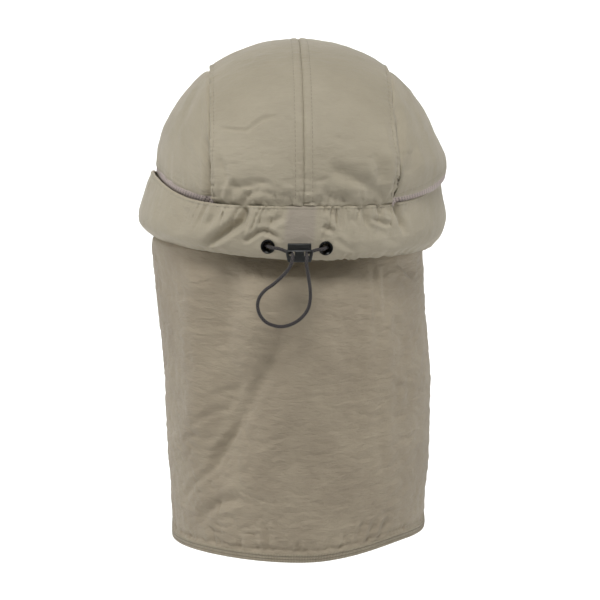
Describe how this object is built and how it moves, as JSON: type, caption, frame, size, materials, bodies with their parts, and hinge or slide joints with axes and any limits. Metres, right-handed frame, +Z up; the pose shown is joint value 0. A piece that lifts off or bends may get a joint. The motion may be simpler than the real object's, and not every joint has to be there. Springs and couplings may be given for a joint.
{
  "type": "legionnaire cap",
  "caption": "Sun cap with a soft panelled crown, a gathered band with a drawcord and cord lock at the back, a stiff peak and a neck flap that hangs to the shoulders.",
  "frame": {"origin": "centre of the head opening at the height of the rim's back", "axes": "+X is the wearer's right, +Y is forward towards the peak, +Z is up"},
  "size_m": [0.1868, 0.286, 0.3045],
  "materials": {
    "crown_cloth": "crinkled khaki nylon",
    "flap_cloth": "crinkled khaki nylon",
    "binding": "ribbed stretch binding",
    "vent_mesh": "open polyester mesh",
    "black_metal": "satin black",
    "black_plastic": "moulded",
    "shock_cord": "braided elastic cord"
  },
  "bodies": {
    "cap": {"top_panel_left": "crown_cloth", "top_panel_right": "crown_cloth", "side_panel_left": "crown_cloth", "side_panel_right": "crown_cloth", "mesh_vent_left": "vent_mesh", "mesh_vent_right": "vent_mesh", "gathered_band": "crown_cloth", "neck_flap": "flap_cloth", "flap_binding": "binding", "peak": "crown_cloth", "eyelet_left": "black_metal", "eyelet_right": "black_metal", "lock_body": "black_plastic", "drawcord": "shock_cord"},
    "button": {"lock_button": "black_plastic"}
  },
  "joints": [
    {"name": "button_press", "type": "slide", "parent": "cap", "child": "button", "axis": [0, 0, -1], "range_m": [0, 0.001], "stiffness_N_per_m": 800, "springref_m": -0.002}
  ]
}
